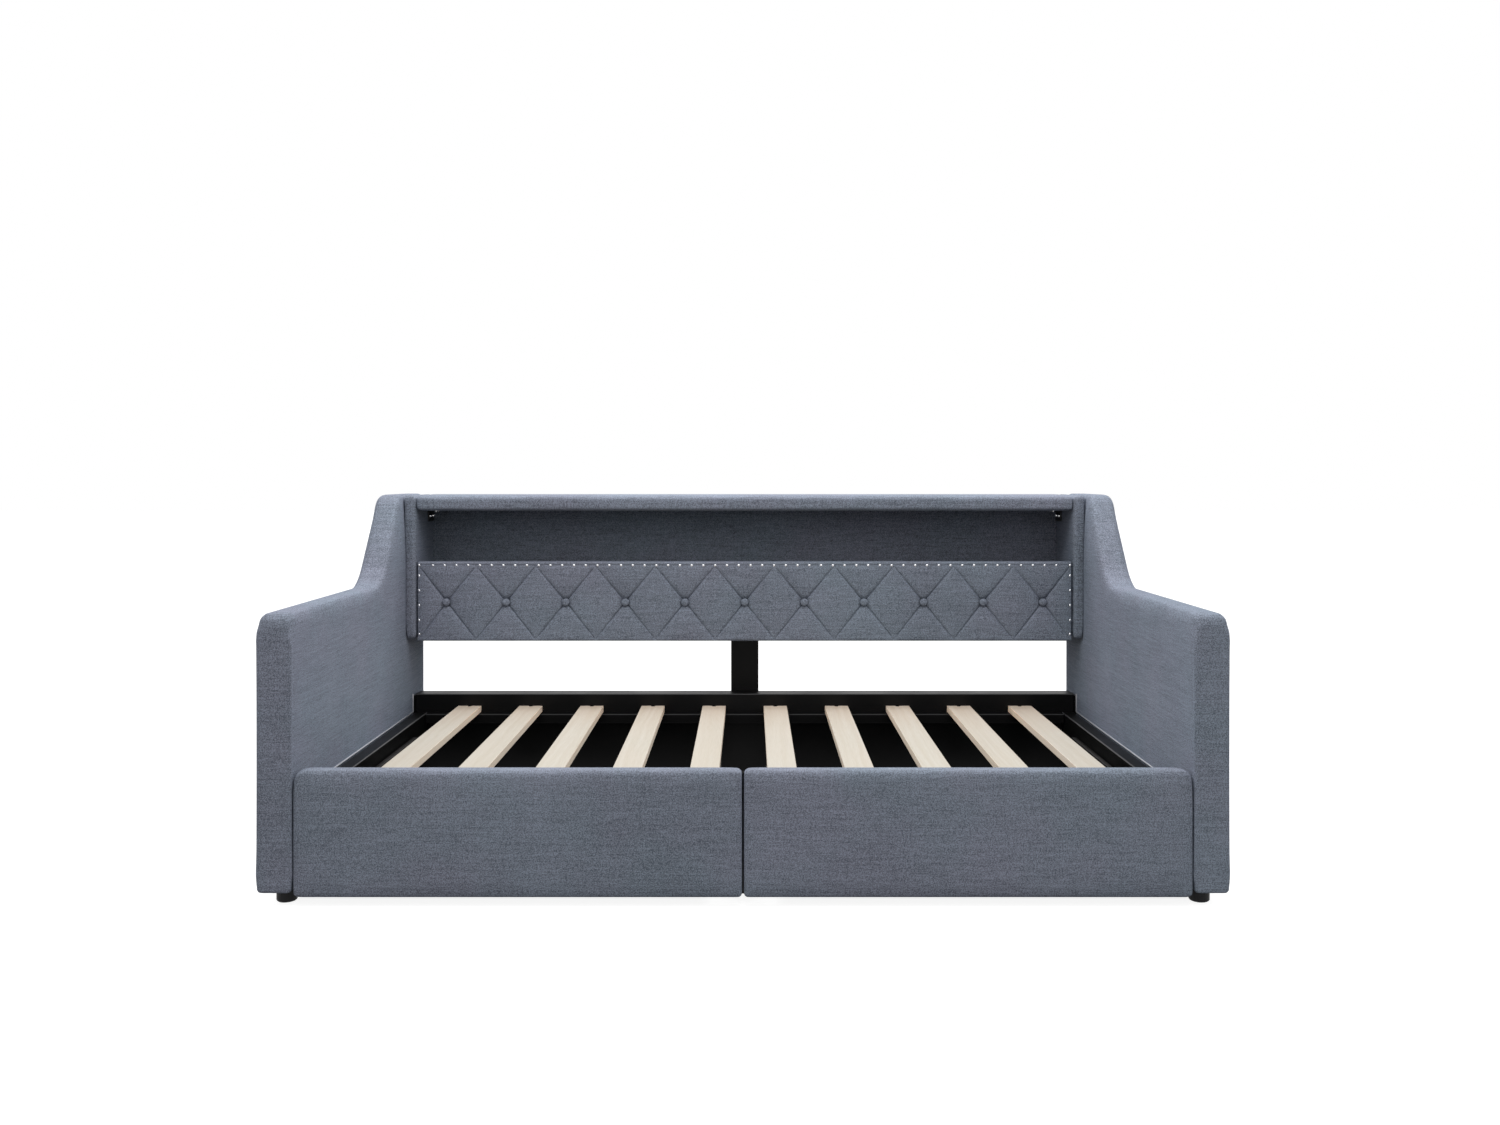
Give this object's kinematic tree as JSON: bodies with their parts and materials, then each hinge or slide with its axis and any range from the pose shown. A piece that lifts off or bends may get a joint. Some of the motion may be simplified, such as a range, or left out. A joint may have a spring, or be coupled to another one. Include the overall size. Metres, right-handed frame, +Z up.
{
  "type": "storage daybed",
  "caption": "Upholstered daybed with winged arms, a slatted frame, a tufted shelf unit behind the bed and rolling storage drawers.",
  "frame": {"origin": "on the floor, under the centre of the whole daybed's box", "axes": "+X to the right as seen from the front, along the bed; +Y from the front to the back; +Z up"},
  "size_m": [2.11, 1.2224, 0.88],
  "materials": {
    "fabric": "slate grey linen-look upholstery fabric over foam",
    "slat_wood": "pale planed wood, clear satin",
    "board": "pale board",
    "black_board": "board with a satin black face",
    "black_frame": "beam with a satin black lacquer",
    "black_metal": "satin black powder coat",
    "black_plastic": "black moulded plastic",
    "wheel_rubber": "dark grey caster tread",
    "nail_metal": "polished nailheads and screws"
  },
  "bodies": {
    "root": {"left_arm": "fabric", "right_arm": "fabric", "left_front_foot": "black_plastic", "left_rear_foot": "black_plastic", "right_front_foot": "black_plastic", "right_rear_foot": "black_plastic", "front_rail": "black_frame", "rear_rail": "black_frame", "left_side_rail": "black_frame", "right_side_rail": "black_frame", "front_ledger": "black_frame", "rear_ledger": "black_frame", "rear_panel": "black_frame", "center_leg": "black_frame", "center_post": "black_frame", "slat_01": "slat_wood", "slat_02": "slat_wood", "slat_03": "slat_wood", "slat_04": "slat_wood", "slat_05": "slat_wood", "slat_06": "slat_wood", "slat_07": "slat_wood", "slat_08": "slat_wood", "slat_09": "slat_wood", "slat_10": "slat_wood", "shelf_left_side": "fabric", "shelf_right_side": "fabric", "shelf_back": "fabric", "shelf_top": "fabric", "shelf_floor": "board", "tufted_panel": "fabric", "left_corner_bracket": "black_metal", "right_corner_bracket": "black_metal"},
    "left_drawer": {"left_drawer_front": "fabric", "left_drawer_bottom": "black_board", "left_drawer_inner_side": "black_board", "left_drawer_outer_side": "black_board", "left_drawer_back": "black_board", "left_drawer_caster_1": "black_plastic", "left_drawer_caster_2": "black_plastic", "left_drawer_caster_3": "black_plastic", "left_drawer_caster_4": "black_plastic"},
    "right_drawer": {"right_drawer_front": "fabric", "right_drawer_bottom": "black_board", "right_drawer_inner_side": "black_board", "right_drawer_outer_side": "black_board", "right_drawer_back": "black_board", "right_drawer_caster_1": "black_plastic", "right_drawer_caster_2": "black_plastic", "right_drawer_caster_3": "black_plastic", "right_drawer_caster_4": "black_plastic"},
    "left_wheel_1": {"left_drawer_wheel_1": "wheel_rubber"},
    "left_wheel_2": {"left_drawer_wheel_2": "wheel_rubber"},
    "left_wheel_3": {"left_drawer_wheel_3": "wheel_rubber"},
    "left_wheel_4": {"left_drawer_wheel_4": "wheel_rubber"},
    "right_wheel_1": {"right_drawer_wheel_1": "wheel_rubber"},
    "right_wheel_2": {"right_drawer_wheel_2": "wheel_rubber"},
    "right_wheel_3": {"right_drawer_wheel_3": "wheel_rubber"},
    "right_wheel_4": {"right_drawer_wheel_4": "wheel_rubber"}
  },
  "joints": [
    {"name": "left_drawer_slide", "type": "slide", "parent": "root", "child": "left_drawer", "axis": [0, -1, 0], "range_m": [0, 0.6]},
    {"name": "right_drawer_slide", "type": "slide", "parent": "root", "child": "right_drawer", "axis": [0, -1, 0], "range_m": [0, 0.6]},
    {"name": "left_wheel_1_spin", "type": "hinge", "parent": "left_drawer", "child": "left_wheel_1", "pos_m": [-0.124, -0.46085, 0.0225], "axis": [1, 0, 0], "range_deg": [0, 1540]},
    {"name": "left_wheel_2_spin", "type": "hinge", "parent": "left_drawer", "child": "left_wheel_2", "pos_m": [-0.124, 0.17315, 0.0225], "axis": [1, 0, 0], "range_deg": [0, 1540]},
    {"name": "left_wheel_3_spin", "type": "hinge", "parent": "left_drawer", "child": "left_wheel_3", "pos_m": [-0.87, -0.46085, 0.0225], "axis": [1, 0, 0], "range_deg": [0, 1540]},
    {"name": "left_wheel_4_spin", "type": "hinge", "parent": "left_drawer", "child": "left_wheel_4", "pos_m": [-0.87, 0.17315, 0.0225], "axis": [1, 0, 0], "range_deg": [0, 1540]},
    {"name": "right_wheel_1_spin", "type": "hinge", "parent": "right_drawer", "child": "right_wheel_1", "pos_m": [0.124, -0.46085, 0.0225], "axis": [1, 0, 0], "range_deg": [0, 1540]},
    {"name": "right_wheel_2_spin", "type": "hinge", "parent": "right_drawer", "child": "right_wheel_2", "pos_m": [0.124, 0.17315, 0.0225], "axis": [1, 0, 0], "range_deg": [0, 1540]},
    {"name": "right_wheel_3_spin", "type": "hinge", "parent": "right_drawer", "child": "right_wheel_3", "pos_m": [0.87, -0.46085, 0.0225], "axis": [1, 0, 0], "range_deg": [0, 1540]},
    {"name": "right_wheel_4_spin", "type": "hinge", "parent": "right_drawer", "child": "right_wheel_4", "pos_m": [0.87, 0.17315, 0.0225], "axis": [1, 0, 0], "range_deg": [0, 1540]}
  ],
  "couplings": [
    {"joint": "left_wheel_1_spin", "follows": "left_drawer_slide", "rad_per_m": 44.444},
    {"joint": "left_wheel_2_spin", "follows": "left_drawer_slide", "rad_per_m": 44.444},
    {"joint": "left_wheel_3_spin", "follows": "left_drawer_slide", "rad_per_m": 44.444},
    {"joint": "left_wheel_4_spin", "follows": "left_drawer_slide", "rad_per_m": 44.444},
    {"joint": "right_wheel_1_spin", "follows": "right_drawer_slide", "rad_per_m": 44.444},
    {"joint": "right_wheel_2_spin", "follows": "right_drawer_slide", "rad_per_m": 44.444},
    {"joint": "right_wheel_3_spin", "follows": "right_drawer_slide", "rad_per_m": 44.444},
    {"joint": "right_wheel_4_spin", "follows": "right_drawer_slide", "rad_per_m": 44.444}
  ]
}
